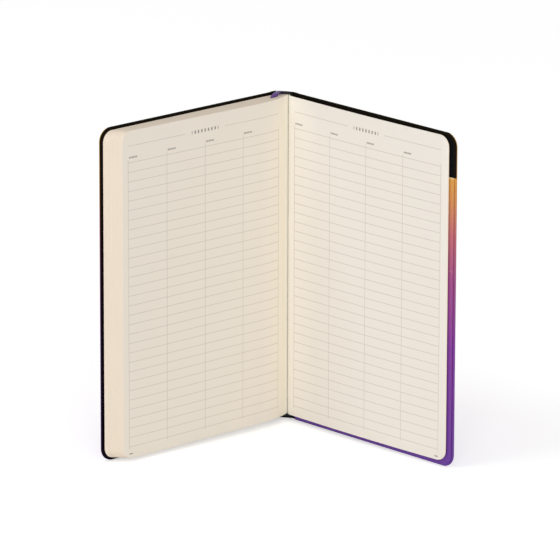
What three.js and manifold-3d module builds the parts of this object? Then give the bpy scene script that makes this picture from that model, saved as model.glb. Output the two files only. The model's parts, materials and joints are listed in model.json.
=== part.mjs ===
import * as THREE from 'three';
import Module from 'manifold-3d';

// Lined pocket notebook, standing open on its tail edges.
// Millimetres, +Z up. The viewer of the open pages stands at -Y.

const wasm = await Module();
wasm.setup();
const { Manifold } = wasm;

// Cover
const coverHeight = 180;
const coverWidth = 118;
const coverCorner = 7;
const coverThickness = 1.45;
const skinThickness = 0.2;
const pasteThickness = 0.19;
const glue = 0.03;
const turnIn = 12;
const boardEdgeGap = 0.05;
const jointWidth = 3.2;
const clothTongue = 13;
const pasteInset = 1.6;
const pasteHingeInset = 1.5;

// Opening angles from shut, in degrees, and the way the spine faces
const frontOpen = 36.6;
const backOpen = 58.5;
const spineTurn = -12;

// Paper block
const headSquare = 1.15;
const tailSquare = 2.65;
const foreSquare = 2.5;
const pageCorner = 6;
const sectionThickness = 0.66;
const sectionPitch = 0.76;
const leftSections = 8;
const sectionGap = 0.05;

// Each section stands up from its fold for a way and then bends over to lie on the others
const standStep = 1.62;
const lastStand = 5;
const bendGap = 0.03;
const frontFan = 2.9;
const backFan = 2.1;
const flyThickness = 0.15;
const flyGap = 0.05;
const flyHingeInset = 0.5;
const flyShorter = 1.9;

// Ribbon marker
const ribbonWidth = 6;
const ribbonThickness = 0.12;
const ribbonInset = 0.8;
const ribbonRoom = 0.22;
const ribbonAfter = 4;
const ribbonFootRise = 16;
const ribbonHeadDrop = 0.4;

// Spine, counted inwards from its outer face
const cardThickness = 0.7;
const clothThickness = 0.2;
const threadDiameter = 0.31;
const spineEndGap = 0.05;
const cardShorter = 0.8;
const clothMargin = 12;
const threadStations = 4;
const threadMargin = 22;
const bandBead = 0.9;
const bandFlange = 8;
const bandLift = 0.05;

// Pocket on the back cover
const pocketDrop = 23;
const pocketThickness = 0.2;
const pocketInset = 0.7;
const pocketHingeInset = 3.6;
const gussetSheet = 0.08;
const gussetFoldGap = 0.06;
const gussetWidth = 7;

const knuckle = coverThickness / 2;
const blockBottom = tailSquare;
const blockTop = coverHeight - headSquare;
const pageWidth = coverWidth - foreSquare;
const pocketTop = coverHeight - pocketDrop;
const skinInner = -knuckle + skinThickness;
const boardOuter = skinInner + glue;
const pasteInner = knuckle;
const pasteOuter = pasteInner - pasteThickness;
const lipInner = pasteOuter - glue;
const lipOuter = lipInner - skinThickness;
const boardInner = lipOuter - glue;

const gussetThickness = 2 * gussetSheet + gussetFoldGap;
const gussetOuter = pasteInner + glue;
const gussetInner = gussetOuter + gussetThickness;
const pocketOuter = gussetInner + glue;
const pocketInner = pocketOuter + pocketThickness;

const frontFlyOuter = pasteInner + flyGap;
const frontFlyInner = frontFlyOuter + flyThickness;
const backFlyOuter = pocketInner + flyGap;
const backFlyInner = backFlyOuter + flyThickness;

const skinFace = knuckle - skinThickness;
const cardOuter = skinFace - glue;
const cardInner = cardOuter - cardThickness;
const clothOuter = cardInner - glue;
const clothInner = clothOuter - clothThickness;
const threadY = clothInner - glue - threadDiameter / 2;
const foldY = threadY - threadDiameter / 2 - sectionGap - sectionThickness / 2;

const rad = Math.PI / 180;

// Fold positions along the spine
const foldX = [];
for (let i = 0; i < leftSections; i += 1) {
  const shift = i >= ribbonAfter ? ribbonRoom / Math.cos(frontOpen * rad) : 0;
  foldX.push(frontFlyInner + sectionGap + sectionThickness / 2 + i * sectionPitch + shift);
}
const lastFoldX = foldX[leftSections - 1] + sectionPitch;
const standOf = (i) => (i < leftSections ? i * standStep : lastStand);
const openOf = (i) => (i < leftSections ? -frontOpen - (frontFan * i) / (leftSections - 1) : backOpen + backFan);
const backPivotX = lastFoldX + sectionThickness / 2 + sectionGap + backFlyInner;

// Outline of a rounded leaf or board: width along x, height along y
function leafOutline(u0, u1, z0, z1, corner, roundHinge = false) {
  const steps = 8;
  const points = [];
  const arc = (cx, cy, from) => {
    for (let i = 0; i <= steps; i += 1) {
      const a = (from + (90 * i) / steps) * rad;
      points.push([cx + corner * Math.cos(a), cy + corner * Math.sin(a)]);
    }
  };
  if (roundHinge) {
    arc(u0 + corner, z0 + corner, 180);
  } else {
    points.push([u0, z0]);
  }
  arc(u1 - corner, z0 + corner, 270);
  arc(u1 - corner, z1 - corner, 0);
  points.push([u0, z1]);
  return points;
}

// Plate standing upright, its faces at n0 and n1
function standing(outline, n0, n1) {
  return Manifold.extrude([outline], n1 - n0).rotate([90, 0, 0]).translate([0, n1, 0]);
}

function box(x0, x1, y0, y1, z0, z1) {
  return Manifold.cube([x1 - x0, y1 - y0, z1 - z0]).translate([x0, y0, z0]);
}

function rod(radius, z0, z1, sides) {
  return Manifold.cylinder(z1 - z0, radius, radius, sides).translate([0, 0, z0]);
}

function halfRod(radius, z0, z1, sides = 24) {
  return rod(radius, z0, z1, sides).intersect(box(-2 * radius, 0, -2 * radius, 2 * radius, z0, z1));
}

function toGeometry(solid, side) {
  const flipped = side < 0 ? solid.mirror([0, 1, 0]) : solid;
  const mesh = flipped.getMesh();
  const geometry = new THREE.BufferGeometry();
  const positions = new Float32Array(mesh.numVert * 3);
  for (let i = 0; i < mesh.numVert; i += 1) {
    positions[3 * i] = mesh.vertProperties[mesh.numProp * i];
    positions[3 * i + 1] = mesh.vertProperties[mesh.numProp * i + 1];
    positions[3 * i + 2] = mesh.vertProperties[mesh.numProp * i + 2];
  }
  geometry.setAttribute('position', new THREE.BufferAttribute(positions, 3));
  geometry.setIndex(new THREE.BufferAttribute(new Uint32Array(mesh.triVerts), 1));
  return geometry;
}

// Materials
const material = (colour, roughness, metalness = 0) =>
  new THREE.MeshStandardMaterial({ color: colour, roughness, metalness });
const skinColour = material(0x5a3a62, 0.55);
const boardColour = material(0x141315, 0.9);
const endpaperColour = material(0x161517, 0.85);
const paperColour = material(0xece1d6, 0.9);
const clothColour = material(0xd8d2c4, 0.95);
const threadColour = material(0xe8e2d4, 0.8);
const bandColour = material(0x1a191b, 0.8);
const ribbonColour = material(0x775992, 0.35);
const pocketColour = material(0xc08068, 0.7);
const gussetColour = material(0x18171a, 0.9);

const group = new THREE.Group();
group.name = 'notebook';
const spineGroup = new THREE.Group();
spineGroup.rotation.z = spineTurn * rad;
group.add(spineGroup);

function add(parent, name, solid, look, side = 1) {
  const mesh = new THREE.Mesh(toGeometry(solid, side), look);
  mesh.name = name;
  parent.add(mesh);
  return mesh;
}

// Frame whose +X runs from a fold towards the fore-edge
function leafFrame(x, y, opened) {
  const frame = new THREE.Group();
  frame.position.set(x, y, 0);
  frame.rotation.z = (-90 + opened) * rad;
  spineGroup.add(frame);
  return frame;
}

// Cover: skin wrapped round a board, hinge cloth and endpaper
function coverSkin() {
  const sheet = standing(leafOutline(0, coverWidth, 0, coverHeight, coverCorner), -knuckle, lipInner);
  const inset = skinThickness + boardEdgeGap;
  const cavity = standing(
    leafOutline(-1, coverWidth - inset, inset, coverHeight - inset, coverCorner - inset),
    skinInner,
    lipOuter,
  );
  const window = box(-1, coverWidth - turnIn, lipOuter - 0.1, lipInner + 1, turnIn, coverHeight - turnIn);
  const hingeSide = box(-1, jointWidth, skinInner, lipInner + 1, -1, coverHeight + 1);
  const bend = halfRod(knuckle, 0, coverHeight).subtract(rod(knuckle - skinThickness, -1, coverHeight + 1, 24));
  return sheet.subtract(cavity).subtract(window).subtract(hingeSide).add(bend);
}

function coverBoard() {
  const inset = skinThickness + 2 * boardEdgeGap;
  const outline = leafOutline(
    jointWidth + glue,
    coverWidth - inset,
    inset,
    coverHeight - inset,
    coverCorner - inset,
  );
  return standing(outline, boardOuter, boardInner);
}

function hingeCloth() {
  const low = turnIn + 1;
  const high = coverHeight - turnIn - 1;
  const core = halfRod(-skinInner - glue, low, high, 20);
  const web = box(-0.01, jointWidth, skinInner + glue, lipInner - glue, low, high);
  const tongue = box(jointWidth - 0.01, jointWidth + clothTongue, lipOuter, lipInner - glue, low, high);
  return core.add(web).add(tongue);
}

function pastedown() {
  const outline = leafOutline(
    pasteHingeInset,
    coverWidth - pasteInset,
    pasteInset,
    coverHeight - pasteInset,
    coverCorner - pasteInset,
  );
  return standing(outline, pasteOuter, pasteInner);
}

function flyleaf(outer, inner) {
  const outline = leafOutline(flyHingeInset, pageWidth - flyShorter, blockBottom, blockTop, pageCorner);
  return standing(outline, outer, inner);
}

// Leaves of one section beyond their bend, which lies on the local Z axis
function sectionLeaves(stand) {
  const half = sectionThickness / 2;
  const outline = leafOutline(0, pageWidth - stand, blockBottom, blockTop, pageCorner);
  return standing(outline, -half, half).add(halfRod(half, blockBottom, blockTop, 16));
}

// Sewn fold of one section, standing on the spine as far as its bend
function sectionFold(stand) {
  const half = sectionThickness / 2;
  const foot = box(0, stand - half - bendGap, -half, half, blockBottom, blockTop);
  return foot.add(halfRod(half, blockBottom, blockTop, 16));
}

function addCover(frame, label, side) {
  add(frame, `${label}_cover_skin`, coverSkin(), skinColour, side);
  add(frame, `${label}_board`, coverBoard(), boardColour, side);
  add(frame, `${label}_hinge_cloth`, hingeCloth(), clothColour, side);
  add(frame, `${label}_pastedown`, pastedown(), endpaperColour, side);
}

const frontFrame = leafFrame(0, 0, -frontOpen);
addCover(frontFrame, 'front', 1);
add(frontFrame, 'front_flyleaf', flyleaf(frontFlyOuter, frontFlyInner), endpaperColour, 1);

const backFrame = leafFrame(backPivotX, 0, backOpen);
addCover(backFrame, 'back', -1);
add(backFrame, 'back_flyleaf', flyleaf(backFlyOuter, backFlyInner), endpaperColour, -1);

// Sections counted from the front cover, the last one turned to the right
const sectionFrames = [];
for (let i = 0; i <= leftSections; i += 1) {
  const x = i < leftSections ? foldX[i] : lastFoldX;
  const stand = standOf(i);
  const frame = leafFrame(x, foldY - stand, openOf(i));
  add(frame, `section_${i + 1}_leaves`, sectionLeaves(stand), paperColour);
  sectionFrames.push(frame);
  if (stand > sectionThickness) {
    add(leafFrame(x, foldY, 0), `section_${i + 1}_fold`, sectionFold(stand), paperColour);
  }
}

// Ribbon marker, lying flat on the section before it
const ribbonFace = sectionThickness / 2 + sectionGap;
add(
  sectionFrames[ribbonAfter - 1],
  'ribbon_marker',
  box(
    ribbonInset,
    ribbonInset + ribbonWidth,
    ribbonFace,
    ribbonFace + ribbonThickness,
    ribbonFootRise,
    coverHeight - ribbonHeadDrop,
  ),
  ribbonColour,
);

// Spine: skin, card, cloth, thread and the two bands
const spineX0 = knuckle + spineEndGap;
const spineX1 = backPivotX - knuckle - spineEndGap;
add(spineGroup, 'spine_skin', box(spineX0, spineX1, skinFace, knuckle, 0, coverHeight), skinColour);
add(
  spineGroup,
  'spine_card',
  box(spineX0, spineX1, cardInner, cardOuter, cardShorter, coverHeight - cardShorter),
  boardColour,
);
add(
  spineGroup,
  'spine_cloth',
  box(spineX0, spineX1, clothInner, clothOuter, clothMargin, coverHeight - clothMargin),
  clothColour,
);

for (let i = 0; i < threadStations; i += 1) {
  const z = threadMargin + ((coverHeight - 2 * threadMargin) * i) / (threadStations - 1);
  const first = foldX[0];
  const length = lastFoldX - first;
  const thread = Manifold.cylinder(length, threadDiameter / 2, threadDiameter / 2, 12)
    .rotate([0, 90, 0])
    .translate([first, threadY, z]);
  add(spineGroup, `sewing_thread_${i + 1}`, thread, threadColour);
}

// Band: a woven bead on the ends of the folds with a glued flange behind them
function band() {
  const x0 = spineX0 + spineEndGap;
  const x1 = spineX1 - spineEndGap;
  const flange = box(x0, x1, clothInner, clothOuter, -bandFlange, bandLift + bandBead / 2);
  const bead = Manifold.cylinder(x1 - x0, bandBead / 2, bandBead / 2, 16)
    .rotate([0, 90, 0])
    .translate([x0, clothOuter - bandBead / 2, bandLift + bandBead / 2]);
  return flange.add(bead);
}
add(spineGroup, 'head_band', band().translate([0, 0, blockTop]), bandColour);
add(spineGroup, 'tail_band', band().mirror([0, 0, 1]).translate([0, 0, blockBottom]), bandColour);

// Expanding pocket: a sheet over folded gussets on the back endpaper
const pocketEdge = coverWidth - pocketInset;
add(
  backFrame,
  'pocket_sheet',
  standing(
    leafOutline(pocketHingeInset, pocketEdge, pocketInset, coverHeight, coverCorner - pocketInset),
    pocketOuter,
    pocketInner,
  ).intersect(box(0, coverWidth, 0, pocketInner, 0, pocketTop)),
  pocketColour,
  -1,
);

// Gusset: a strip folded once along its length, open towards the pocket
function gusset(x0, x1, z0, z1, foldAt) {
  const whole = box(x0, x1, gussetOuter, gussetInner, z0, z1);
  const low = gussetOuter + gussetSheet;
  const high = low + gussetFoldGap;
  const keep = gussetSheet;
  const reach = {
    fore: [x0 - 1, x1 - keep, z0 - 1, z1 + 1],
    hinge: [x0 + keep, x1 + 1, z0 - 1, z1 + 1],
    tail: [x0 - 1, x1 + 1, z0 + keep, z1 + 1],
  }[foldAt];
  return whole.subtract(box(reach[0], reach[1], low, high, reach[2], reach[3]));
}
const gussetLow = pasteInset + coverCorner;
const gussetHigh = pocketTop - 1;
const gussetFore = coverWidth - pasteInset - 0.2;
const gussetHinge = pocketHingeInset + 0.4;
add(
  backFrame,
  'pocket_gusset_fore',
  gusset(gussetFore - gussetWidth, gussetFore, gussetLow, gussetHigh, 'fore'),
  gussetColour,
  -1,
);
add(
  backFrame,
  'pocket_gusset_hinge',
  gusset(gussetHinge, gussetHinge + gussetWidth, gussetLow, gussetHigh, 'hinge'),
  gussetColour,
  -1,
);
add(
  backFrame,
  'pocket_gusset_tail',
  gusset(
    gussetHinge + gussetWidth + 0.3,
    gussetFore - gussetWidth - 0.3,
    pasteInset + 0.3,
    pasteInset + 0.3 + gussetWidth,
    'tail',
  ),
  gussetColour,
  -1,
);

// Put the origin under the middle of the standing book
group.updateMatrixWorld(true);
const bounds = new THREE.Box3().setFromObject(group, true);
const middle = bounds.getCenter(new THREE.Vector3());
spineGroup.position.set(-middle.x, -middle.y, 0);

export default group;
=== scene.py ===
# %% [markdown]
# A lined notebook stands open on its tail edges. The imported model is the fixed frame:
# covers, spine, sewn sections, ribbon and pocket are already in place, in metres. This
# lesson gives every one of them its finish, and builds again the ones whose real form is
# softer than a flat solid: the paper, the cover skin and the ribbon.

# %% Load the frame
import json
import math
import random

import bmesh
import bpy
import numpy as np
from mathutils import Matrix, Vector


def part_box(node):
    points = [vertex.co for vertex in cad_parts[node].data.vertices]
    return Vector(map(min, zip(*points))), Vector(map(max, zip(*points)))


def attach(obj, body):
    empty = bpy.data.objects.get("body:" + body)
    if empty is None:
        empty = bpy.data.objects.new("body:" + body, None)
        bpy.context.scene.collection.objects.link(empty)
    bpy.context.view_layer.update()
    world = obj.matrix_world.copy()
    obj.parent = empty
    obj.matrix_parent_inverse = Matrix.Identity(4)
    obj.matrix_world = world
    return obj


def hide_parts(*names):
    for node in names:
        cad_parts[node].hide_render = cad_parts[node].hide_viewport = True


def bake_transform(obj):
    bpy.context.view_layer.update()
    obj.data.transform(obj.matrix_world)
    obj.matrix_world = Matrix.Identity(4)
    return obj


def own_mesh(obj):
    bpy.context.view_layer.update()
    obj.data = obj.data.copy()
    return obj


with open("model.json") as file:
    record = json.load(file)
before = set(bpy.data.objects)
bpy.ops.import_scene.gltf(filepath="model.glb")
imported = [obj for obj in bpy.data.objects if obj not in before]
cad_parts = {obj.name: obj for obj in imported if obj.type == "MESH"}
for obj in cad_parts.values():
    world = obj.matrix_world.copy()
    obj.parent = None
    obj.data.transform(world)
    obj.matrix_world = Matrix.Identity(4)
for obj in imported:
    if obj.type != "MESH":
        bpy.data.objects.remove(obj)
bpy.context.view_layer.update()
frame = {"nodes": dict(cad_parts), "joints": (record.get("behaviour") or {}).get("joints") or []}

print("solids in the frame:", len(frame["nodes"]))

# %% [markdown]
# All leaves and covers turn on upright lines. The frame's joints say where those lines
# are and how far each leaf is opened, so the whole plan of the book is read from them:
# the spine runs from the front pivot to the back pivot, and a leaf that stands straight
# out of the spine points a quarter turn away from it.

# %% Plan of the open book
MM = 0.001
JOINTS = {joint["name"]: joint for joint in frame["joints"]}
FRONT_PIVOT = Vector(JOINTS["front_cover_open"]["pos_m"])
BACK_PIVOT = Vector(JOINTS["back_cover_open"]["pos_m"])
SPINE_RUN = BACK_PIVOT - FRONT_PIVOT
STAND_HEADING = math.atan2(SPINE_RUN.y, SPINE_RUN.x) - math.pi / 2
FRONT_OPEN = math.radians(-JOINTS["front_leaves_turn"]["range_deg"][0])
BACK_OPEN = math.radians(-JOINTS["back_leaves_turn"]["range_deg"][0])
COVER_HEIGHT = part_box("front_cover_skin")[1].z
PAGE_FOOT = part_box("section_8_leaves")[0].z
PAGE_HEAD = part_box("section_8_leaves")[1].z


def plan(heading):
    """Unit vector on the table that points along a heading."""
    return Vector((math.cos(heading), math.sin(heading), 0.0))


class Leaf:
    """Flat plan of a cover or leaf: u runs to the fore-edge, n towards the reader."""

    def __init__(self, pivot, opened, side):
        self.pivot = Vector((pivot[0], pivot[1], 0.0))
        self.along = plan(STAND_HEADING - side * opened)
        self.reader = Vector((-self.along.y, self.along.x, 0.0)) * side

    def at(self, u, n, z):
        return self.pivot + self.along * u + self.reader * n + Vector((0.0, 0.0, z))


FRONT = Leaf(FRONT_PIVOT, FRONT_OPEN, 1)
BACK = Leaf(BACK_PIVOT, BACK_OPEN, -1)
SPINE = Leaf(FRONT_PIVOT, 0.0, 1)
SPINE.along = SPINE_RUN.normalized()
SPINE.reader = plan(STAND_HEADING)
print("spine width in mm:", round(SPINE_RUN.length / MM, 2))

# %% [markdown]
# A product photograph of something tall and narrow is taken from far away with a long
# lens, so that upright edges stay nearly parallel. The camera stands 3.2 m off, a little
# to the left, looks down by 17 degrees, and is rolled by two tenths of a degree.

# %% Camera
IMAGE_SIZE = 560.0
FOCAL_PIXELS = 6186.3
SENSOR = 36.0
AZIMUTH = math.radians(-1.126)
PITCH = math.radians(16.883)
DISTANCE = 3.2332
ROLL = math.radians(0.176)
TARGET = Vector((0.00045, 0.0, 0.08894))

lens = bpy.data.cameras.new("photo_camera")
lens.sensor_width = SENSOR
lens.lens = FOCAL_PIXELS / IMAGE_SIZE * SENSOR
lens.clip_end = 20.0
camera = bpy.data.objects.new("photo_camera", lens)
bpy.context.scene.collection.objects.link(camera)
level = math.cos(PITCH)
away = Vector((-math.sin(AZIMUTH) * level, -math.cos(AZIMUTH) * level, math.sin(PITCH)))
eye = TARGET + DISTANCE * away
camera.matrix_world = (
    Matrix.Translation(eye)
    @ Matrix.Rotation(-AZIMUTH, 4, "Z")
    @ Matrix.Rotation(math.pi / 2 - PITCH, 4, "X")
    @ Matrix.Rotation(ROLL, 4, "Z")
)
bpy.context.scene.camera = camera
print("camera at", [round(x, 3) for x in eye])

# %% [markdown]
# Materials are small node trees. A few helpers keep them short: one turns a colour as a
# painter writes it, 0 to 255, into the linear values that a shader wants, one starts a
# material, and one chains arithmetic, because rules, ticks and stripes are all masks
# made by arithmetic on a coordinate.


# %% Node helpers
def paint(red, green, blue):
    """Linear colour from 0 to 255 screen values, by the usual screen curve."""
    linear = []
    for value in (red, green, blue):
        v = value / 255.0
        linear.append(v / 12.92 if v <= 0.04045 else ((v + 0.055) / 1.055) ** 2.4)
    return (*linear, 1.0)


class Nodes:
    """A new material and short calls for the nodes in it."""

    def __init__(self, name, roughness, specular=0.5):
        self.material = bpy.data.materials.new(name)
        self.material.use_nodes = True
        self.tree = self.material.node_tree
        self.shader = self.tree.nodes["Principled BSDF"]
        self.shader.inputs["Roughness"].default_value = roughness
        self.shader.inputs["Specular IOR Level"].default_value = specular

    def add(self, kind, **settings):
        node = self.tree.nodes.new(kind)
        for key, value in settings.items():
            setattr(node, key, value)
        return node

    def link(self, source, target):
        self.tree.links.new(source, target)

    def feed(self, target, value):
        """Puts a number, colour or another node's output into an input."""
        if isinstance(value, bpy.types.NodeSocket):
            self.link(value, target)
        else:
            target.default_value = value

    def math(self, operation, a, b=0.0, c=0.0):
        node = self.add("ShaderNodeMath", operation=operation)
        for socket, value in zip(node.inputs, (a, b, c)):
            self.feed(socket, value)
        return node.outputs[0]

    def mix(self, factor, a, b, blend="MIX"):
        node = self.add("ShaderNodeMix", data_type="RGBA", blend_type=blend)
        self.feed(node.inputs["Factor"], factor)
        self.feed(node.inputs["A"], a)
        self.feed(node.inputs["B"], b)
        return node.outputs["Result"]

    def ramp(self, factor, stops):
        node = self.add("ShaderNodeValToRGB")
        band = node.color_ramp
        while len(band.elements) < len(stops):
            band.elements.new(0.5)
        for element, (place, colour) in zip(band.elements, stops):
            element.position = place
            element.color = colour
        self.feed(node.inputs["Fac"], factor)
        return node.outputs["Color"]

    def object_point(self):
        """Object coordinates: metres in the frame, and fixed to the piece."""
        return self.add("ShaderNodeTexCoord").outputs["Object"]

    def noise(self, vector, scale, detail=3.0, roughness=0.5):
        node = self.add("ShaderNodeTexNoise")
        self.feed(node.inputs["Vector"], vector)
        node.inputs["Scale"].default_value = scale
        node.inputs["Detail"].default_value = detail
        node.inputs["Roughness"].default_value = roughness
        return node.outputs["Fac"]

    def split(self, vector):
        node = self.add("ShaderNodeSeparateXYZ")
        self.link(vector, node.inputs[0])
        return node.outputs

    def bump(self, height, distance, strength=1.0):
        node = self.add("ShaderNodeBump")
        node.inputs["Strength"].default_value = strength
        node.inputs["Distance"].default_value = distance
        self.link(height, node.inputs["Height"])
        self.link(node.outputs["Normal"], self.shader.inputs["Normal"])

    def colour(self, value):
        """Sets the base colour and hands back the finished material."""
        self.feed(self.shader.inputs["Base Color"], value)
        return self.material


print("shown as 128 a grey is, in linear light,", round(paint(128, 128, 128)[0], 3))


# %% [markdown]
# The pages are ruled in grey: thirty-one fine lines, four columns, a broken rule with a
# row of plain ticks for the heading, ticks over each column and a dash in the corner.
# A UV map gives each point's distance from the fold and its height, so the ruling stays
# on the leaf however it bends. Each mark is a soft-edged interval on one of the two.

# %% Ruled page
UV_WIDTH = 0.12
UV_HEIGHT = 0.18
LEAF_LENGTH = 0.1155
RULE_TOP = 162.0 * MM
RULE_PITCH = 5.1 * MM
RULE_COUNT = 31
RULE_BOTTOM = RULE_TOP - (RULE_COUNT - 1) * RULE_PITCH
RULE_WIDTH = 0.26 * MM
COLUMNS = 4
LEFT_RULING = (110.8 * MM, 25.2 * MM)
RIGHT_RULING = (111.0 * MM, 26.1 * MM)
HEADING_HEIGHT = 170.9 * MM
HEADING_GAP = 13.0 * MM
HEADING_TICKS = 8.8 * MM
RULE_MARGIN = 1.0 * MM
COLUMN_BELOW = 1.2 * MM
COLUMN_ABOVE = 1.6 * MM
TITLE_TICK_PITCH = 2.2 * MM
TITLE_TICK_REACH = 0.42 * MM
TITLE_TICK_RISE = 0.85 * MM
LABEL_INSET = 3.0 * MM
LABEL_REACH = 2.7 * MM
LABEL_LOW = 2.2 * MM
LABEL_HIGH = 3.1 * MM
LABEL_TICK_PITCH = 0.9 * MM
LABEL_TICK_REACH = 0.3 * MM
DASH_LENGTH = 2.2 * MM
DASH_LOW = 4.8 * MM
DASH_HIGH = 5.4 * MM
# Painted light: the second colour of each paper pair, and the crease colour, brighten the page
# towards the fold, where the gutter is in shade.
FOLD_LIGHT_REACH = 24.0 * MM
CREASE_LIGHT_REACH = 5.0 * MM
# Painted shade: the left page's paper is a darker copy of the right page's.
SHADED_LEFT_PAPER_AND_FOLD_LIGHT = (paint(238, 230, 217), paint(250, 241, 222))
RIGHT_PAPER_AND_FOLD_LIGHT = (paint(243, 237, 228), paint(254, 248, 236))
CREASE_PAINTED_LIGHT = paint(255, 252, 242)
CLOUD_PAPER = paint(243, 233, 220)
FIBRE_PAPER = paint(216, 204, 190)
RULE_GREY = paint(203, 194, 182)
TICK_GREY = paint(146, 139, 131)


def interval(nodes, value, low, high, soft=0.05 * MM):
    """1 where value lies between low and high, fading over soft at each end."""
    middle = (low + high) / 2
    reach = (high - low) / 2
    off = nodes.math("ABSOLUTE", nodes.math("SUBTRACT", value, middle))
    fall = nodes.math("DIVIDE", nodes.math("SUBTRACT", reach + soft / 2, off), soft)
    return nodes.math("MINIMUM", nodes.math("MAXIMUM", fall, 0.0), 1.0)


def every(nodes, value, start, pitch):
    """Distance from the nearest of the lines at start plus whole pitches."""
    turns = nodes.math("DIVIDE", nodes.math("SUBTRACT", value, start), pitch)
    near = nodes.math("SUBTRACT", turns, nodes.math("ROUND", turns))
    return nodes.math("MULTIPLY", near, pitch)


def both(nodes, *masks):
    """1 where all the masks are."""
    result = masks[0]
    for mask in masks[1:]:
        result = nodes.math("MULTIPLY", result, mask)
    return result


def either(nodes, *masks):
    """1 where any of the masks is."""
    result = masks[0]
    for mask in masks[1:]:
        result = nodes.math("MAXIMUM", result, mask)
    return result


def page_rules(nodes, run, rise, inner, outer, pitch):
    """Mask of the fine grey rules."""
    half = RULE_WIDTH / 2
    middle = (inner + outer) / 2
    lines = both(
        nodes,
        interval(nodes, every(nodes, rise, RULE_TOP, RULE_PITCH), -half, half),
        interval(nodes, rise, RULE_BOTTOM - RULE_MARGIN, RULE_TOP + RULE_MARGIN),
        interval(nodes, run, inner, outer),
    )
    columns = both(
        nodes,
        interval(nodes, every(nodes, run, outer, pitch), -half, half),
        interval(nodes, rise, RULE_BOTTOM - COLUMN_BELOW, RULE_TOP + COLUMN_ABOVE),
        interval(nodes, run, inner - RULE_MARGIN, outer + RULE_MARGIN),
    )
    whole = interval(nodes, run, inner, outer)
    gap = interval(nodes, run, middle - HEADING_GAP, middle + HEADING_GAP)
    heading = both(
        nodes,
        interval(nodes, rise, HEADING_HEIGHT - half, HEADING_HEIGHT + half),
        nodes.math("SUBTRACT", whole, both(nodes, whole, gap)),
    )
    return either(nodes, lines, columns, heading)


def page_ticks(nodes, run, rise, inner, outer, pitch, side):
    """Mask of the plain ticks that stand where a heading would be printed."""
    middle = (inner + outer) / 2
    title = both(
        nodes,
        interval(nodes, rise, HEADING_HEIGHT - TITLE_TICK_RISE, HEADING_HEIGHT + TITLE_TICK_RISE),
        interval(nodes, run, middle - HEADING_TICKS, middle + HEADING_TICKS),
        interval(
            nodes,
            every(nodes, run, middle, TITLE_TICK_PITCH),
            -TITLE_TICK_REACH,
            TITLE_TICK_REACH,
        ),
    )
    label = every(nodes, run, outer - side * LABEL_INSET, pitch)
    column = both(
        nodes,
        interval(nodes, label, -LABEL_REACH, LABEL_REACH),
        interval(nodes, rise, RULE_TOP + LABEL_LOW, RULE_TOP + LABEL_HIGH),
        interval(
            nodes,
            every(nodes, run, outer, LABEL_TICK_PITCH),
            -LABEL_TICK_REACH,
            LABEL_TICK_REACH,
        ),
        interval(nodes, run, inner, outer),
    )
    corner = both(
        nodes,
        interval(nodes, run, outer - DASH_LENGTH, outer),
        interval(nodes, rise, DASH_LOW, DASH_HIGH),
    )
    return either(nodes, title, column, corner)


def ruled_paper(name, ruling, side, paper):
    """Ruled leaf: side is 1 where headings start at the outer end of a column."""
    outer, pitch = ruling
    inner = outer - COLUMNS * pitch
    nodes = Nodes(name, roughness=0.88, specular=0.25)
    uv = nodes.add("ShaderNodeUVMap", uv_map="leaf")
    across, up, _ = nodes.split(uv.outputs["UV"])
    run = nodes.math("MULTIPLY", across, UV_WIDTH)
    rise = nodes.math("MULTIPLY", up, UV_HEIGHT)
    point = nodes.object_point()
    fibre = nodes.noise(point, 900.0, detail=4.0, roughness=0.65)
    cloud = nodes.noise(point, 35.0, detail=2.0)
    # Painted light: the paper grows brighter towards the fold and brighter still at the crease.
    near_fold_light = nodes.math("SUBTRACT", 1.0, nodes.math("DIVIDE", run, FOLD_LIGHT_REACH))
    base = nodes.mix(nodes.math("MAXIMUM", near_fold_light, 0.0), *paper)
    crease_light = nodes.math("SUBTRACT", 1.0, nodes.math("DIVIDE", run, CREASE_LIGHT_REACH))
    base = nodes.mix(nodes.math("MAXIMUM", crease_light, 0.0), base, CREASE_PAINTED_LIGHT)
    base = nodes.mix(nodes.math("MULTIPLY", cloud, 0.12), base, CLOUD_PAPER)
    base = nodes.mix(nodes.math("MULTIPLY", fibre, 0.08), base, FIBRE_PAPER)
    rules = page_rules(nodes, run, rise, inner, outer, pitch)
    ticks = page_ticks(nodes, run, rise, inner, outer, pitch, side)
    base = nodes.mix(rules, base, RULE_GREY)
    base = nodes.mix(ticks, base, TICK_GREY)
    nodes.bump(fibre, 0.02 * MM, 0.35)
    return nodes.colour(base)


# The left leaf's material is a shaded copy of the right's: painted shade.
RULED_LEFT_SHADED = ruled_paper("ruled_left_leaf_painted_shade", LEFT_RULING, 1, SHADED_LEFT_PAPER_AND_FOLD_LIGHT)
RULED_RIGHT = ruled_paper("ruled_right_leaf", RIGHT_RULING, -1, RIGHT_PAPER_AND_FOLD_LIGHT)
print("rules from", round(RULE_TOP / MM, 1), "down to", round(RULE_BOTTOM / MM, 1), "mm")

# %% [markdown]
# The cut edges of the block show every leaf as a hair line. A stored attribute counts
# leaves from the front cover backwards, so a noise along that one number draws lines
# that run with the leaves on the head, the tail and the fore-edge alike.

# %% Cut leaf edges
LEAVES_PER_SECTION = 16.0
BROAD_SCALE = 0.11


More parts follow.
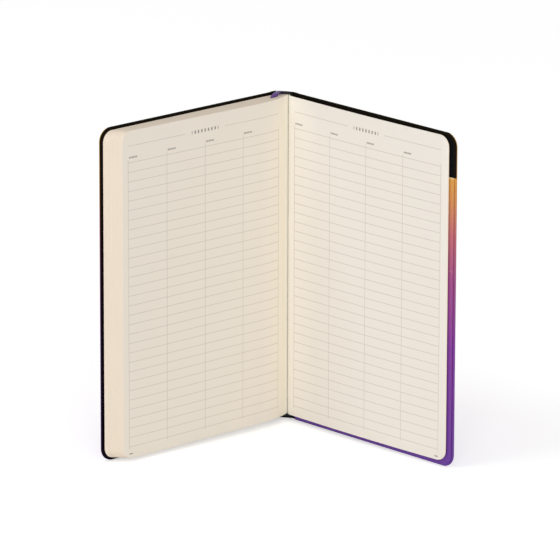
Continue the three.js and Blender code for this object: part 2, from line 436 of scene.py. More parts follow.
def leaf_edges(name):
    nodes = Nodes(name, roughness=0.92, specular=0.15)
    count = nodes.add("ShaderNodeAttribute", attribute_name="leaf_count")
    leaf = nodes.math("MULTIPLY", count.outputs["Fac"], LEAVES_PER_SECTION)
    grain = nodes.add("ShaderNodeTexNoise", noise_dimensions="1D")
    grain.inputs["Scale"].default_value = 1.0
    grain.inputs["Detail"].default_value = 2.0
    nodes.link(leaf, grain.inputs["W"])
    broad = nodes.add("ShaderNodeTexNoise", noise_dimensions="1D")
    broad.inputs["Scale"].default_value = BROAD_SCALE
    nodes.link(leaf, broad.inputs["W"])
    stripe = nodes.ramp(
        grain.outputs["Fac"],
        [
            (0.30, paint(222, 207, 188)),
            (0.50, paint(245, 231, 213)),
            (0.72, paint(251, 238, 220)),
        ],
    )
    tint = nodes.ramp(
        broad.outputs["Fac"],
        [(0.35, paint(244, 230, 204)), (0.65, paint(249, 228, 212))],
    )
    base = nodes.mix(0.5, stripe, tint)
    soil = nodes.noise(nodes.object_point(), 60.0, detail=3.0)
    base = nodes.mix(nodes.math("MULTIPLY", soil, 0.10), base, paint(206, 190, 168))
    nodes.bump(grain.outputs["Fac"], 0.08 * MM, 0.5)
    return nodes.colour(base)


LEAF_EDGES = leaf_edges("leaf_edges")
print("leaves drawn in a section:", int(LEAVES_PER_SECTION))

# %% [markdown]
# The cover's skin is a soft-touch sheet dyed from orange at the head to violet at the
# foot. Object height drives the fade. A fine pebble grain, two noises deep, gives the
# bump, and handling has polished it a little, so roughness varies as well. Where the
# skin turns over the edges it is dyed black, which a stored attribute marks.

# %% Cover skin
EDGE_BLACK = paint(5, 4, 6)
EDGE_TINT = 0.012
FADE = (
    (0.0, (106, 61, 160)),
    (0.36, (137, 64, 163)),
    (0.56, (168, 81, 144)),
    (0.70, (204, 113, 124)),
    (0.80, (222, 150, 92)),
    (0.88, (234, 171, 70)),
    (1.0, (226, 190, 88)),
)


def height_fade(nodes, point):
    _, _, height = nodes.split(point)
    share = nodes.math("DIVIDE", height, COVER_HEIGHT)
    return nodes.ramp(share, [(place, paint(*colour)) for place, colour in FADE])


def cover_leather(name):
    nodes = Nodes(name, roughness=0.55, specular=0.35)
    point = nodes.object_point()
    fade = height_fade(nodes, point)
    pebble = nodes.add("ShaderNodeTexVoronoi", feature="SMOOTH_F1")
    pebble.inputs["Scale"].default_value = 1700.0
    nodes.link(point, pebble.inputs["Vector"])
    wrinkle = nodes.noise(point, 420.0, detail=5.0, roughness=0.6)
    grain = nodes.math("ADD", pebble.outputs["Distance"], wrinkle)
    hollow = nodes.math("MULTIPLY", wrinkle, 0.22)
    shade = nodes.mix(hollow, fade, paint(60, 30, 60), "MULTIPLY")
    edge = nodes.add("ShaderNodeAttribute", attribute_name="turned_edge")
    dark = nodes.mix(EDGE_TINT, EDGE_BLACK, shade)
    base = nodes.mix(edge.outputs["Fac"], shade, dark)
    worn = nodes.noise(point, 30.0, detail=2.0)
    rough = nodes.math("MULTIPLY_ADD", worn, 0.2, 0.42)
    nodes.link(rough, nodes.shader.inputs["Roughness"])
    gloss = nodes.math("MULTIPLY_ADD", edge.outputs["Fac"], -0.28, 0.32)
    nodes.link(gloss, nodes.shader.inputs["Specular IOR Level"])
    nodes.bump(grain, 0.05 * MM, 0.6)
    return nodes.colour(base)


LEATHER = cover_leather("cover_leather")
print("stops in the fade:", len(FADE))

# %% [markdown]
# The pocket is a stiff printed paper with the same fade. It has a faint crease across it
# and a painted highlight along its mouth, where the edge catches the light. Both are
# soft intervals on the height.

# %% Pocket paper
CREASE_HEIGHT = 106.8 * MM
CREASE_HALF = 0.3 * MM
MOUTH_HIGHLIGHT_LOW = 156.2 * MM
MOUTH_HIGHLIGHT_HIGH = 160.0 * MM


def pocket_paper(name):
    nodes = Nodes(name, roughness=0.6, specular=0.35)
    point = nodes.object_point()
    fade = height_fade(nodes, point)
    fibre = nodes.noise(point, 800.0, detail=4.0)
    base = nodes.mix(nodes.math("MULTIPLY", fibre, 0.10), fade, paint(90, 50, 70))
    _, _, height = nodes.split(point)
    low = CREASE_HEIGHT - CREASE_HALF
    crease = interval(nodes, height, low, CREASE_HEIGHT + CREASE_HALF, 0.3 * MM)
    mouth_highlight = interval(nodes, height, MOUTH_HIGHLIGHT_LOW, MOUTH_HIGHLIGHT_HIGH, 0.4 * MM)
    base = nodes.mix(nodes.math("MULTIPLY", crease, 0.25), base, paint(225, 170, 160))
    # Painted highlight along the pocket's mouth.
    base = nodes.mix(nodes.math("MULTIPLY", mouth_highlight, 0.8), base, paint(238, 208, 158))
    nodes.bump(nodes.math("MULTIPLY_ADD", crease, -1.0, fibre), 0.03 * MM, 0.5)
    return nodes.colour(base)


POCKET = pocket_paper("pocket_paper")
print("pocket crease at", round(CREASE_HEIGHT / MM, 1), "mm")

# %% [markdown]
# Endpapers and boards are black through and through. Their fibres are fine, so one noise
# of high scale carries the small changes of tone and the bump.


# %% Black paper and board
def black_paper(name):
    nodes = Nodes(name, roughness=0.85, specular=0.15)
    point = nodes.object_point()
    fibre = nodes.noise(point, 1100.0, detail=5.0, roughness=0.7)
    base = nodes.mix(fibre, paint(4, 4, 6), paint(13, 13, 17))
    nodes.bump(fibre, 0.03 * MM, 0.5)
    return nodes.colour(base)


BLACK_PAPER = black_paper("black_paper")
BOARD = black_paper("pressed_board")
print("black finishes:", BLACK_PAPER.name, BOARD.name)

# %% [markdown]
# The lining, the bands and the gussets are plain weaves. Two crossed waves, one for each
# set of threads, say which thread is on top, and that share gives colour and bump.


# %% Woven cloths
def woven(name, warp, weft, pitch, roughness, sheen=0.0):
    """Plain weave with threads that are pitch apart."""
    nodes = Nodes(name, roughness=roughness, specular=0.3)
    nodes.shader.inputs["Sheen Weight"].default_value = sheen
    nodes.shader.inputs["Sheen Roughness"].default_value = 0.4
    point = nodes.object_point()
    x, _, z = nodes.split(point)
    upright = nodes.math("SINE", nodes.math("MULTIPLY", x, 2 * math.pi / pitch))
    level = nodes.math("SINE", nodes.math("MULTIPLY", z, 2 * math.pi / pitch))
    over = nodes.math("MULTIPLY", upright, level)
    share = nodes.math("MULTIPLY_ADD", over, 0.5, 0.5)
    slub = nodes.noise(point, 500.0, detail=3.0)
    base = nodes.mix(share, warp, weft)
    base = nodes.mix(nodes.math("MULTIPLY", slub, 0.25), base, warp, "MULTIPLY")
    nodes.bump(share, pitch / 6, 0.6)
    return nodes.colour(base)


CLOTH = woven("lining_cloth", paint(222, 216, 203), paint(202, 195, 180), 0.5 * MM, 0.95)
BAND = woven("band_weave", paint(22, 21, 24), paint(40, 38, 43), 0.45 * MM, 0.7, 0.2)
GUSSET = woven("gusset_weave", paint(20, 19, 22), paint(34, 32, 37), 0.35 * MM, 0.8)
print("woven finishes:", CLOTH.name, BAND.name, GUSSET.name)

# %% [markdown]
# Sewing thread is twisted from plies, which cross it on the slant. One wave on a slanting
# sum of two coordinates draws them.

# %% Sewing thread
PLY_LENGTH = 0.4 * MM
PLY_SLANT = 1.4


def sewing_thread(name):
    nodes = Nodes(name, roughness=0.7, specular=0.3)
    x, _, z = nodes.split(nodes.object_point())
    lay = nodes.math("ADD", x, nodes.math("MULTIPLY", z, PLY_SLANT))
    ply = nodes.math("SINE", nodes.math("MULTIPLY", lay, 2 * math.pi / PLY_LENGTH))
    share = nodes.math("MULTIPLY_ADD", ply, 0.5, 0.5)
    nodes.bump(share, 0.05 * MM, 0.7)
    return nodes.colour(nodes.mix(share, paint(196, 190, 174), paint(236, 231, 219)))


THREAD = sewing_thread("sewing_thread")
print("thread finish:", THREAD.name)

# %% [markdown]
# The marker is a satin ribbon: close threads along it, fine ribs across, a soft sheen
# and a darker selvedge. All of it follows the ribbon's own UV map.

# %% Ribbon satin
RIBS_ALONG = 420.0
THREADS_ACROSS = 34.0
SELVEDGE_START = 0.43


def satin(name):
    nodes = Nodes(name, roughness=0.34, specular=0.5)
    nodes.shader.inputs["Sheen Weight"].default_value = 0.1
    nodes.shader.inputs["Sheen Roughness"].default_value = 0.3
    uv = nodes.add("ShaderNodeUVMap", uv_map="ribbon")
    across, along, _ = nodes.split(uv.outputs["UV"])
    rib = nodes.math("SINE", nodes.math("MULTIPLY", along, 2 * math.pi * RIBS_ALONG))
    warp = nodes.math("SINE", nodes.math("MULTIPLY", across, 2 * math.pi * THREADS_ACROSS))
    thread = nodes.math("MULTIPLY_ADD", nodes.math("ADD", rib, warp), 0.25, 0.5)
    off = nodes.math("ABSOLUTE", nodes.math("SUBTRACT", across, 0.5))
    selvedge = nodes.math("GREATER_THAN", off, SELVEDGE_START)
    base = nodes.mix(thread, paint(92, 60, 132), paint(120, 84, 160))
    base = nodes.mix(nodes.math("MULTIPLY", selvedge, 0.5), base, paint(70, 44, 96))
    nodes.bump(thread, 0.03 * MM, 0.5)
    return nodes.colour(base)


SATIN = satin("ribbon_satin")
print("materials made:", len(bpy.data.materials))

# %% [markdown]
# Every flat thing in a book starts as the same blank: a rectangle with its two fore-edge
# corners rounded. One face, two corner vertices bevelled, gives exactly that outline.
# Straight cuts then give it joints to bend at, and one extrusion gives it a thickness.
# In the blank, x is the distance from the fold, y the place through the thickness from
# 0 to 1, and z the height. A later step carries these three numbers into the book.

# %% Blank
CORNER_STEPS = 8
WELD = 1e-7
OUTWARDS = Vector((1.0, 0.0, 0.0))
UPWARDS = Vector((0.0, 0.0, 1.0))


def cut_across(bm, places, direction):
    """Straight cuts square to a direction, at the given distances along it."""
    for place in places:
        bmesh.ops.bisect_plane(
            bm,
            geom=bm.verts[:] + bm.edges[:] + bm.faces[:],
            dist=WELD,
            plane_co=direction * place,
            plane_no=direction,
        )


def shift_grown(bm, grown, vec):
    """Moves the vertices that an extrusion has just made."""
    verts = [item for item in grown["geom"] if isinstance(item, bmesh.types.BMVert)]
    bmesh.ops.translate(bm, verts=verts, vec=vec)


def blank(start, end, foot, head, corner, cuts):
    """bmesh of a leaf outline, cut into strips, with y from 0 to 1 through it."""
    bm = bmesh.new()
    corners = [(start, foot), (end, foot), (end, head), (start, head)]
    verts = [bm.verts.new((x, 0.0, z)) for x, z in corners]
    bm.faces.new(verts)
    if corner > 0:
        bmesh.ops.bevel(
            bm,
            geom=verts[1:3],
            offset=corner,
            offset_type="OFFSET",
            affect="VERTICES",
            segments=CORNER_STEPS,
            profile=0.5,
            material=-1,
        )
    cut_across(bm, cuts, OUTWARDS)
    grown = bmesh.ops.extrude_face_region(bm, geom=bm.faces[:], use_keep_orig=True)
    shift_grown(bm, grown, (0.0, 1.0, 0.0))
    bmesh.ops.recalc_face_normals(bm, faces=bm.faces[:])
    return bm


def finish_mesh(bm, name, materials, sharp_angle=35.0):
    """Turns a bmesh into an object at the origin, smooth but for its sharp edges."""
    mesh = bpy.data.meshes.new(name)
    bm.to_mesh(mesh)
    bm.free()
    for material in materials:
        mesh.materials.append(material)
    mesh.shade_smooth()
    mesh.set_sharp_from_angle(angle=math.radians(sharp_angle))
    thing = bpy.data.objects.new(name, mesh)
    bpy.context.scene.collection.objects.link(thing)
    return thing


def steps(start, end, size):
    """Evenly spaced places between start and end, without the ends."""
    count = max(1, round((end - start) / size))
    return [start + (end - start) * i / count for i in range(1, count)]


print("places between 0 and 1 in steps of a quarter:", steps(0.0, 1.0, 0.25))

# %% [markdown]
# A sewn leaf stands straight up from its fold, leans over its neighbours and then lies
# flat, and the further it is from the cover the longer it stands. So a leaf's plan is a
# heading that changes with distance from the fold, summed up in small steps. The number
# f says how far through the left half a surface lies, 0 at the cover and 8 at the page
# that shows. Between two whole numbers lies one section, thicker at the fore-edge where
# its leaves fan out, as the ones in the photograph do.

# %% Curves of the left leaves
FOLD_FIRST = 1.305 * MM
FOLD_PITCH = 0.76 * MM
FOLD_BACK = 0.83 * MM
FOLD_DEPTH = 0.33 * MM
STAND_STEP = 1.62 * MM
LEFT_SECTIONS = 8
RIBBON_AFTER = 4
RIBBON_ROOM = 0.274 * MM
CURVE_REACH = 0.65
CURVE_LEAST = 0.6 * MM
CURVE_LEAN = 0.25
ROOM_START = 12.0 * MM
ROOM_FADE = 24.0 * MM
VISIBLE_FAN = math.radians(1.2)
STEP = 0.25 * MM
CURVE_LENGTH = 0.118
REAR_END = 117.2 * MM
END_SLANT = 0.33 * MM
FOOT_LIFT = 0.6 * MM
FOOT_SAG = 1.5 * MM


def smooth(t):
    """Eases from 0 to 1 as t does, level at both ends."""
    t = np.clip(t, 0.0, 1.0)
    return t * t * (3.0 - 2.0 * t)


def walk(origin, headings):
    """Points reached from origin by equal steps along the given headings."""
    xs = origin.x + np.concatenate(([0.0], np.cumsum(np.cos(headings)))) * STEP
    ys = origin.y + np.concatenate(([0.0], np.cumsum(np.sin(headings)))) * STEP
    return np.stack([xs, ys], axis=1)


DISTANCES = (np.arange(int(CURVE_LENGTH / STEP)) + 0.5) * STEP


def left_stand(f):
    """How far the leaf at f stands before it turns."""
    return max(0.0, (f - 0.5) * STAND_STEP)


def left_curve(f, section):
    """Plan of the surface at f, which belongs to the given section.

    Its heading eases in as a square, whose mean is a third. So three times the length
    that the leaf has to stand out by is the reach over which it turns.
    """
    room = RIBBON_ROOM if section > RIBBON_AFTER else 0.0
    origin = SPINE.at(FOLD_FIRST + FOLD_PITCH * (f - 0.5) + room, FOLD_BACK, 0.0)
    opened = FRONT_OPEN + VISIBLE_FAN * (f - 0.5) / (LEFT_SECTIONS - 1)
    reach = 3 * (CURVE_REACH * left_stand(f) + CURVE_LEAST) / (1.0 - CURVE_LEAN)
    turned = 1.0 - (1.0 - CURVE_LEAN) * (1.0 - np.clip(DISTANCES / reach, 0.0, 1.0)) ** 2
    points = walk(origin, STAND_HEADING - opened * turned)
    faded = room * smooth((np.arange(len(points)) * STEP - ROOM_START) / ROOM_FADE)
    return points - np.outer(faded, SPINE.along[:2])


def on_curve(curve, distance):
    """Point of a plan curve at a distance from the fold."""
    place = distance / STEP
    index = int(min(max(place, 0.0), len(curve) - 2))
    share = place - index
    return curve[index] * (1 - share) + curve[index + 1] * share


def left_foot(distance):
    """Height of the left leaves' foot over the flat solids', falling to the fore-edge."""
    return FOOT_LIFT - FOOT_SAG * float(smooth(distance / LEAF_LENGTH))


def level_foot(distance):
    """The right leaves' foot stays level."""
    return 0.0


print("points on each curve:", len(DISTANCES) + 1)

# %% [markdown]
# A leaf has a thickness, so it fills the space between two such curves. One class keeps
# a share of that space and says where a point of a blank comes to lie in the book.

# %% Space between two curves
WAIST = 0.4
WAIST_REACH = 9.0 * MM


class Band:
    """A share of the space between two curves, as a map from a blank into the book.

    About the turning line a sewn section is pressed thinner: its back draws in.
    """

    def __init__(self, back, front, low, high, turning, foot):
        self.back = back
        self.front = front
        self.low = low
        self.high = high
        self.turning = turning
        self.foot = foot

    def at(self, distance, through, height):
        off = abs(distance - self.turning) / WAIST_REACH
        waist = WAIST * float(smooth(1.0 - off))
        share = self.low + (self.high - self.low) * through
        share = 1.0 - (1.0 - share) * (1.0 - waist)
        here = on_curve(self.back, distance) * (1 - share)
        here = here + on_curve(self.front, distance) * share
        low_share = (PAGE_HEAD - height) / (PAGE_HEAD - PAGE_FOOT)
        return Vector((here[0], here[1], height + self.foot(distance) * low_share))


# %% [markdown]
# Each section is four gatherings of leaves, each one a closed shell, with its own small
# unevenness at the fore-edge. The section is made in two lengths: a short root that stays
# at the spine, and the loose part that rides on its own body.

# %% Paper pieces
GATHERINGS = 4
AIR = 0.01
PAGE_CORNER = 6.0 * MM
UNEVEN = 0.10 * MM
FLAT_STEP = 8.0 * MM
BEND_STEP = 0.8 * MM
BEND_REACH = 34.0 * MM
SIDE_NORMAL = 0.9
dice = random.Random(7)


def gatherings(back, front, turning, foot):
    """The spaces of one section's gatherings, from its back to its front."""
    return [
        Band(back, front, (index + AIR) / GATHERINGS, (index + 1) / GATHERINGS, turning, foot)
        for index in range(GATHERINGS)
    ]


def sheet_block(bm, space, first, share):
    """Gives a blank its UV map, leaf count and materials, then bends it into place."""
    uv = bm.loops.layers.uv.new("leaf")
    count = bm.verts.layers.float.new("leaf_count")
    for face in bm.faces:
        face.material_index = 0 if abs(face.normal.y) > SIDE_NORMAL else 1
        for loop in face.loops:
            distance, _, height = loop.vert.co
            loop[uv].uv = (distance / UV_WIDTH, height / UV_HEIGHT)
    for vert in bm.verts:
        distance, through, height = vert.co
        vert[count] = first + share * through
        vert.co = space.at(distance, through, height)


def join_into(target, source):
    """Adds one bmesh's geometry to another by way of a scratch mesh."""
    scratch = bpy.data.meshes.new("scratch")
    source.to_mesh(scratch)
    source.free()
    target.from_mesh(scratch)
    bpy.data.meshes.remove(scratch)


def paper_piece(name, spaces, start, ends, corner, first, ruled, foot=PAGE_FOOT):
    """One object of several gatherings between start and their own ends."""
    whole = bmesh.new()
    share = 1.0 / len(spaces)
    for index, (space, end) in enumerate(zip(spaces, ends)):
        bend_end = min(end, BEND_REACH)
        cuts = steps(start, bend_end, BEND_STEP)
        if end > BEND_REACH:
            cuts = cuts + [BEND_REACH] + steps(BEND_REACH, end - PAGE_CORNER, FLAT_STEP)
        bm = blank(start, end, foot, PAGE_HEAD, corner, cuts)
        sheet_block(bm, space, first + index * share, share)
        join_into(whole, bm)
    return finish_mesh(whole, name, [ruled, LEAF_EDGES])


def sewn_section(section, spaces, root, ends, ruled, foot=PAGE_FOOT):
    """Makes one section's loose paper and its root, and hands back the root."""
    first = section - 1.0
    name = f"section_{section}"
    loose = paper_piece(f"{name}_paper", spaces, root, ends, PAGE_CORNER, first, ruled, foot)
    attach(loose, f"leaves_{section}")
    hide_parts(f"{name}_leaves")
    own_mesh(loose)
    roots = [root] * GATHERINGS
    stand = paper_piece(f"{name}_stand", spaces, 0.0, roots, 0.0, first, ruled, foot)
    if section > 1:
        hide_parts(f"{name}_fold")
    return stand


print("gatherings in a section:", GATHERINGS)

# %% [markdown]
# The eight left sections follow one rule. Each turns on its own line, at the place where
# it bends over its neighbours, and its root stays at the spine.

# %% Left sections
ROOT = 1.2 * MM


def section_leaf(section, side):
    """Flat plan of a section, from its joint in the frame."""
    joint = JOINTS[f"section_{section}_turn"]
    return Leaf(joint["pos_m"], math.radians(-joint["range_deg"][0]), side)


def fold_beside(leaf):
    """Place on the spine that lies straight behind a section's turning line."""
    return SPINE.at((leaf.pivot - SPINE.pivot).dot(SPINE.along), FOLD_BACK, 0.0)


for section in range(1, LEFT_SECTIONS + 1):
    leaf = section_leaf(section, 1)
    turning = left_stand(section - 0.5) + FOLD_DEPTH
    back = left_curve(section - 1, section)
    front = left_curve(section - AIR, section)
    spaces = gatherings(back, front, turning, left_foot)
    marks = np.linspace(section - 1, section, GATHERINGS + 1)
    ends = [REAR_END - END_SLANT * mark - dice.uniform(0, UNEVEN) for mark in marks[1:]]
    root = min(ROOT, turning)
    stand = sewn_section(section, spaces, root, ends, RULED_LEFT_SHADED)
    foot = fold_beside(leaf)
    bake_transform(stand)
print("left sections:", LEFT_SECTIONS)

# %% [markdown]
# The last section lies on the right. It leaves the spine almost at once, arches gently
# over the joint and comes down on the black flyleaf near the fore-edge.

# %% Right section
RIGHT_FOLD = 7.40 * MM
RIGHT_DEPTH = 0.54 * MM
RIGHT_STAND = 1.5 * MM
RIGHT_END = 115.9 * MM
RIGHT_FOOT = PAGE_FOOT + 0.6 * MM
RIGHT_CURVE = 7.0 * MM
RIGHT_TURNING = 0.3 * MM
RIGHT_CONVERGE = math.radians(0.55)
RIGHT_ARCH = 1.0 * MM
NO_WAIST = -WAIST_REACH


def right_curve(through):
    """Plan of the right section's surface, 0 at its back and 1 at the page that shows."""
    origin = SPINE.at(RIGHT_FOLD + RIGHT_DEPTH * (1 - through), FOLD_BACK, 0.0)
    total = BACK_OPEN + RIGHT_CONVERGE
    turned = smooth((DISTANCES + RIGHT_CURVE / 2 - RIGHT_STAND) / RIGHT_CURVE)
    run = np.clip((DISTANCES - RIGHT_CURVE) / (LEAF_LENGTH - RIGHT_CURVE), 0.0, 1.0)
    arch = RIGHT_ARCH * math.pi / LEAF_LENGTH * np.cos(math.pi * run)
    arch = arch * smooth(DISTANCES / RIGHT_CURVE)
    return walk(origin, STAND_HEADING + total * turned - arch)


last = LEFT_SECTIONS + 1
leaf = section_leaf(last, -1)
spaces = gatherings(right_curve(0.0), right_curve(1.0), NO_WAIST, level_foot)
ends = [RIGHT_END - dice.uniform(0, UNEVEN) for _ in spaces]
stand = sewn_section(
    last, spaces, RIGHT_TURNING, ends, RULED_RIGHT, RIGHT_FOOT
)
foot = SPINE.at(RIGHT_FOLD + RIGHT_DEPTH / 2, FOLD_BACK, 0.0)
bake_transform(stand)
print("right section in place")

# %% [markdown]
# The cover is a stiff board wrapped in a skin about a fifth of a millimetre thick, with
# a soft rounded edge all round. Seen from outside it is one slab, so it is modelled as a
# rounded blank whose long edges are bevelled.

# %% Cover slab
COVER_WIDTH = 118.0 * MM
COVER_CORNER = 7.0 * MM
KNUCKLE = 0.725 * MM
LIP = 0.505 * MM
JOINT_WIDTH = 3.2 * MM
SLAB_OVERLAP = 0.3 * MM
EDGE_ROUND = 0.4 * MM
EDGE_SEGMENTS = 4
LEVEL = 1e-9
SHARP_TURN = 1.0
WRAP_START = 60.0 * MM
WRAP_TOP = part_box("pocket_sheet")[1].z


def cover_slab():
    """Board and skin together, from the joint to the fore-edge, with rounded edges.

    The rim is every level edge whose two faces turn by more than SHARP_TURN radians.
    """
    start = JOINT_WIDTH - SLAB_OVERLAP
    bm = blank(start, COVER_WIDTH, 0.0, COVER_HEIGHT, COVER_CORNER, [WRAP_START])
    cut_across(bm, (WRAP_TOP - EDGE_ROUND, WRAP_TOP), UPWARDS)
    for vert in bm.verts:
        vert.co.y = -KNUCKLE + vert.co.y * (LIP + KNUCKLE)
    bmesh.ops.recalc_face_normals(bm, faces=bm.faces[:])
    level = [
        edge
        for edge in bm.edges
        if abs(edge.verts[0].co.y - edge.verts[1].co.y) < LEVEL
    ]
    rim = [edge for edge in level if edge.calc_face_angle(0.0) > SHARP_TURN]
    bmesh.ops.bevel(
        bm,
        geom=rim,
        offset=EDGE_ROUND,
        offset_type="OFFSET",
        affect="EDGES",
        segments=EDGE_SEGMENTS,
        profile=0.5,
        material=-1,
        clamp_overlap=True,
    )
    return bm


print("cover slab in mm:", round(COVER_WIDTH / MM), "by", round(COVER_HEIGHT / MM))

# %% [markdown]
# At the hinge only the skin goes on. An edge as long as the skin is thick is spun half a
# turn about the turning line, its free end is drawn out into a flat tongue that reaches
# into the slab, and one extrusion carries the strip up to the head.

# %% Hinge skin
SKIN = 0.2 * MM
HINGE_STEPS = 14


def hinge_skin():
    """The skin round the hinge: a flat tongue and a half turn about the turning line."""
    bm = bmesh.new()
    outer = bm.verts.new((0.0, -KNUCKLE, 0.0))
    inner = bm.verts.new((0.0, -KNUCKLE + SKIN, 0.0))
    seam = bm.edges.new((outer, inner))
    bmesh.ops.spin(
        bm,
        geom=[outer, inner, seam],
        cent=(0.0, 0.0, 0.0),
        axis=(0.0, 0.0, 1.0),
        dvec=(0.0, 0.0, 0.0),
        angle=-math.pi,
        steps=HINGE_STEPS,
        use_merge=False,
    )
    tongue = bmesh.ops.extrude_edge_only(bm, edges=[seam])
    shift_grown(bm, tongue, (JOINT_WIDTH, 0.0, 0.0))
    grown = bmesh.ops.extrude_face_region(bm, geom=bm.faces[:], use_keep_orig=True)
    shift_grown(bm, grown, (0.0, 0.0, COVER_HEIGHT))
    bmesh.ops.remove_doubles(bm, verts=bm.verts[:], dist=WELD)
    cut_across(bm, (EDGE_ROUND, COVER_HEIGHT - EDGE_ROUND), UPWARDS)
    bmesh.ops.recalc_face_normals(bm, faces=bm.faces[:])
    return bm


print("steps round the hinge:", HINGE_STEPS)

# %% [markdown]
# The skin is black where it turns over an edge and on its inner side. A value stored on
# the points says how black each one is. It changes evenly from point to point, so the
# hinge skin's level cuts near head and foot, and the slab's rows of points round its
# edges, keep that black narrow.
# Beside the pocket, the pocket's sheet goes round the back cover's fore-edge and foot,
# and there the edge keeps the colours of the fade.

# %% Turned edges
EDGE_BLEND = 0.12 * MM
HINGE_TUCK = 0.2 * MM
COVER_SHARP = 40.0


def slab_inward(u, n):
    """Grows past 0 where the slab's edge has rounded away from the outer face."""
    return (n + KNUCKLE - EDGE_ROUND) / EDGE_BLEND


def hinge_inward(u, n):
    """1 on the inner face of the hinge skin and where it is tucked in behind the spine."""
    depth = KNUCKLE - math.hypot(u, n) if u < 0 else KNUCKLE + n
    return 1.0 if depth > SKIN / 2 or n > HINGE_TUCK else 0.0


def mark_edges(bm, leaf, label, inward_at):
    """Stores how much of each point belongs to the black turned edge, then places it."""
    layer = bm.verts.layers.float.new("turned_edge")
    for vert in bm.verts:
        u, n, z = vert.co
        inward = inward_at(u, n)
        ends = max(EDGE_ROUND - z, z - COVER_HEIGHT + EDGE_ROUND) / EDGE_BLEND
        wrapped = label == "back" and z < WRAP_TOP - EDGE_ROUND / 2 and u > WRAP_START
        vert[layer] = 0.0 if wrapped else min(1.0, max(0.0, inward, ends))
        vert.co = leaf.at(u, n, z)


for label, leaf in (("front", FRONT), ("back", BACK)):
    whole = bmesh.new()
    for part, inward_at in ((cover_slab(), slab_inward), (hinge_skin(), hinge_inward)):
        mark_edges(part, leaf, label, inward_at)
        bmesh.ops.recalc_face_normals(part, faces=part.faces[:])
        join_into(whole, part)
    skin = finish_mesh(whole, f"{label}_cover_wrap", [LEATHER], COVER_SHARP)
    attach(skin, f"{label}_cover")
    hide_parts(f"{label}_cover_skin")
print("cover skins in place")

# %% [markdown]
# Between the two hinges the skin runs over the spine card, slightly rounded outwards by
# years of glue and pressing. A blank of a few narrow strips follows that curve.

# %% Spine skin
SPINE_END_GAP = 0.05 * MM
SPINE_CROWN = 0.28 * MM
SPINE_CELLS = 16


def spine_wrap():
    """Skin between the hinges: outside in the fade, black inside and at its two rims."""
    low = KNUCKLE + SPINE_END_GAP
    high = SPINE_RUN.length - low
    cuts = steps(low, high, (high - low) / SPINE_CELLS)
    bm = blank(low, high, 0.0, COVER_HEIGHT, 0.0, cuts)
    cut_across(bm, (EDGE_ROUND, COVER_HEIGHT - EDGE_ROUND), UPWARDS)
    layer = bm.verts.layers.float.new("turned_edge")
    for vert in bm.verts:
        x, through, z = vert.co
        share = (x - low) / (high - low)
        crown = SPINE_CROWN * math.sin(math.pi * share)
        depth = -KNUCKLE + SKIN * through - crown * (1 - through)
        rim = z < EDGE_ROUND / 2 or z > COVER_HEIGHT - EDGE_ROUND / 2
        vert[layer] = 1.0 if rim or through > 0.5 else 0.0
        vert.co = SPINE.at(x, depth, z)
    bmesh.ops.recalc_face_normals(bm, faces=bm.faces[:])
    return finish_mesh(bm, "spine_wrap", [LEATHER], COVER_SHARP)


spine = spine_wrap()
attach(spine, "spine")
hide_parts("spine_skin")
print("spine skin made of", len(spine.data.polygons), "faces")

# %% [markdown]
# The ribbon is glued behind the spine, comes up over the head of the block and dives
# between the fourth and fifth sections, where it runs down to the foot. A grid holds the
# surface: one direction across the ribbon, the other along it. The three stretches of its
# way meet at the same height: down among the leaves, over the head, and down behind the
# spine. The tail rides on the leaves it lies on, and the loop over the head stays in
# place.

# %% Way of the ribbon
RIBBON_WIDTH = 6.0 * MM
RIBBON_THICKNESS = 0.12 * MM
RIBBON_NEAR = 4.6 * MM
RIBBON_FOOT = 16.0 * MM
RIBBON_TUCK = 167.0 * MM
RIBBON_RISE = 1.6 * MM
RIBBON_DIVE = PAGE_HEAD + 0.1 * MM
RIBBON_BACK = 0.55 * MM
RIBBON_SPINE_START = 5.6 * MM
RIBBON_GLUED = 4.4 * MM
RIBBON_LIES = 0.14
RIBBON_CELLS = 10
TURN_SHARE = 0.30
TUCK_SHARE = 0.16
RIBBON_SPLIT = 1.0 - TURN_SHARE - TUCK_SHARE


def ribbon_point(across, along, curve):
    """Place on the ribbon: along runs from 0 at the foot to 1 at the glued end."""
    place = on_curve(curve, RIBBON_NEAR + RIBBON_WIDTH * across)
    dive = Vector((place[0], place[1], RIBBON_DIVE))
    glued = SPINE.at(RIBBON_SPINE_START - RIBBON_GLUED * across, RIBBON_BACK, 0.0)
    if along < RIBBON_SPLIT:
        share = along / RIBBON_SPLIT
        return Vector((dive.x, dive.y, RIBBON_FOOT + (dive.z - RIBBON_FOOT) * share))
    if along < RIBBON_SPLIT + TURN_SHARE:
        share = (along - RIBBON_SPLIT) / TURN_SHARE
        swing = 0.5 - 0.5 * math.cos(math.pi * share)
        rise = RIBBON_RISE * math.sin(math.pi * share) ** 0.5
        here = dive.lerp(glued, swing)
        return Vector((here.x, here.y, dive.z + rise))
    share = (along - RIBBON_SPLIT - TURN_SHARE) / TUCK_SHARE
    return Vector((glued.x, glued.y, dive.z + (RIBBON_TUCK - dive.z) * share))


print("glued at a height of", round(RIBBON_TUCK / MM), "mm, ends at", round(RIBBON_FOOT / MM))

# %% [markdown]
# Two objects make up the ribbon, so that it can follow the leaves. Each is a grid that is
# laid along its share of the way, and a Solidify modifier gives it its thickness.

# %% Ribbon pieces
TAIL_CELLS = 48
CREST_CELLS = 64
RIBBON_SHARP = 60.0


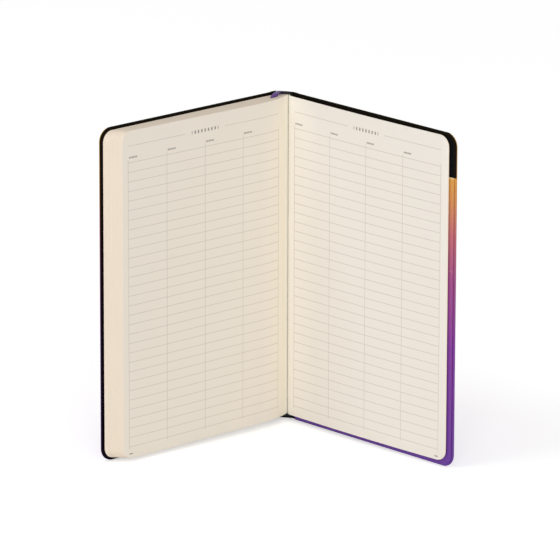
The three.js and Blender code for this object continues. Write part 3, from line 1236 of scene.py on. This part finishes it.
def ribbon_length(name, low, high, cells):
    """One object of the ribbon, between two places on its way from 0 to 1."""
    curve = left_curve(RIBBON_AFTER + RIBBON_LIES, RIBBON_AFTER)
    bm = bmesh.new()
    bmesh.ops.create_grid(bm, x_segments=RIBBON_CELLS, y_segments=cells, size=0.5)
    uv = bm.loops.layers.uv.new("ribbon")
    for vert in bm.verts:
        vert.co.y = low + (high - low) * (vert.co.y + 0.5)
    for face in bm.faces:
        for loop in face.loops:
            loop[uv].uv = (loop.vert.co.x + 0.5, loop.vert.co.y)
    for vert in bm.verts:
        vert.co = ribbon_point(vert.co.x + 0.5, vert.co.y, curve)
    thing = finish_mesh(bm, name, [SATIN], RIBBON_SHARP)
    thick = thing.modifiers.new("thickness", "SOLIDIFY")
    thick.thickness = RIBBON_THICKNESS
    thick.offset = 0.0
    return thing


leaf = section_leaf(RIBBON_AFTER, 1)
tail = ribbon_length("ribbon_satin_tail", 0.0, RIBBON_SPLIT, TAIL_CELLS)
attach(tail, f"leaves_{RIBBON_AFTER}")
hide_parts("ribbon_marker")
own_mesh(tail)
crest = ribbon_length("ribbon_satin_crest", RIBBON_SPLIT, 1.0, CREST_CELLS)
foot = fold_beside(leaf)
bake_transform(crest)
print("ribbon in place")

# %% [markdown]
# The other solids have their real shape already. Each takes the finish of its kind.

# %% Finishes of the carried solids
FINISHES = {
    "board": BOARD,
    "card": BOARD,
    "pastedown": BLACK_PAPER,
    "flyleaf": BLACK_PAPER,
    "cloth": CLOTH,
    "thread": THREAD,
    "band": BAND,
    "pocket_sheet": POCKET,
    "gusset": GUSSET,
}


def finish_solid(name, thing):
    """Gives a carried solid its finish, and says whether there was one for it."""
    for word, material in FINISHES.items():
        if word in name:
            thing.data.materials.clear()
            thing.data.materials.append(material)
            return True
    return False


dressed = [name for name, thing in frame["nodes"].items() if finish_solid(name, thing)]
print("solids with a new finish:", len(dressed))

# %% [markdown]
# The set is a white table under a soft sky. The table stays white where nothing shades
# it: to the camera, and in reflections, it has a little light of its own, and the shadow
# of the book still falls on it.

# %% Table
TABLE_REACH = 4.0
TABLE_WHITE = (0.88, 0.88, 0.88, 1.0)
TABLE_GLOW = 0.47


def table_material():
    nodes = Nodes("white_table", roughness=0.9, specular=0.0)
    path = nodes.add("ShaderNodeLightPath").outputs
    seen = nodes.math("MAXIMUM", path["Is Camera Ray"], path["Is Glossy Ray"])
    seen = nodes.math("MAXIMUM", seen, path["Is Transmission Ray"])
    glow = nodes.add("ShaderNodeEmission")
    nodes.link(nodes.math("MULTIPLY", seen, TABLE_GLOW), glow.inputs["Strength"])
    total = nodes.add("ShaderNodeAddShader")
    nodes.link(nodes.shader.outputs[0], total.inputs[0])
    nodes.link(glow.outputs[0], total.inputs[1])
    nodes.link(total.outputs[0], nodes.tree.nodes["Material Output"].inputs["Surface"])
    return nodes.colour(TABLE_WHITE)


top = bmesh.new()
bmesh.ops.create_grid(top, x_segments=1, y_segments=1, size=TABLE_REACH)
table = finish_mesh(top, "white_table", [table_material()])
print("table reaches", TABLE_REACH, "m each way")

# %% [markdown]
# One lamp from the upper left gives the shadow its direction. A larger one stands in
# front and lights the pages, and a white sky fills in the rest.

# %% Lamps and sky
LAMP_AIM = Vector((0.0, 0.0, 0.09))
SKY_STRENGTH = 0.49


def lamp(name, location, size, energy):
    """Square lamp that faces the middle of the book."""
    data = bpy.data.lights.new(name, "AREA")
    data.energy = energy
    data.size = size
    thing = bpy.data.objects.new(name, data)
    bpy.context.scene.collection.objects.link(thing)
    outward = Vector(location) - LAMP_AIM
    facing = outward.to_track_quat("Z", "Y").to_matrix().to_4x4()
    thing.matrix_world = Matrix.Translation(location) @ facing


lamp("key_lamp", (-1.4, -0.6, 2.0), 1.0, 8.0)
lamp("front_lamp", (0.1, -2.5, 0.7), 1.5, 28.0)

world = bpy.data.worlds.new("soft_sky")
world.use_nodes = True
sky = world.node_tree.nodes["Background"]
sky.inputs["Color"].default_value = (1.0, 1.0, 1.0, 1.0)
sky.inputs["Strength"].default_value = SKY_STRENGTH
bpy.context.scene.world = world
bpy.context.scene.view_settings.view_transform = "Standard"
print("lamps:", len(bpy.data.lights))
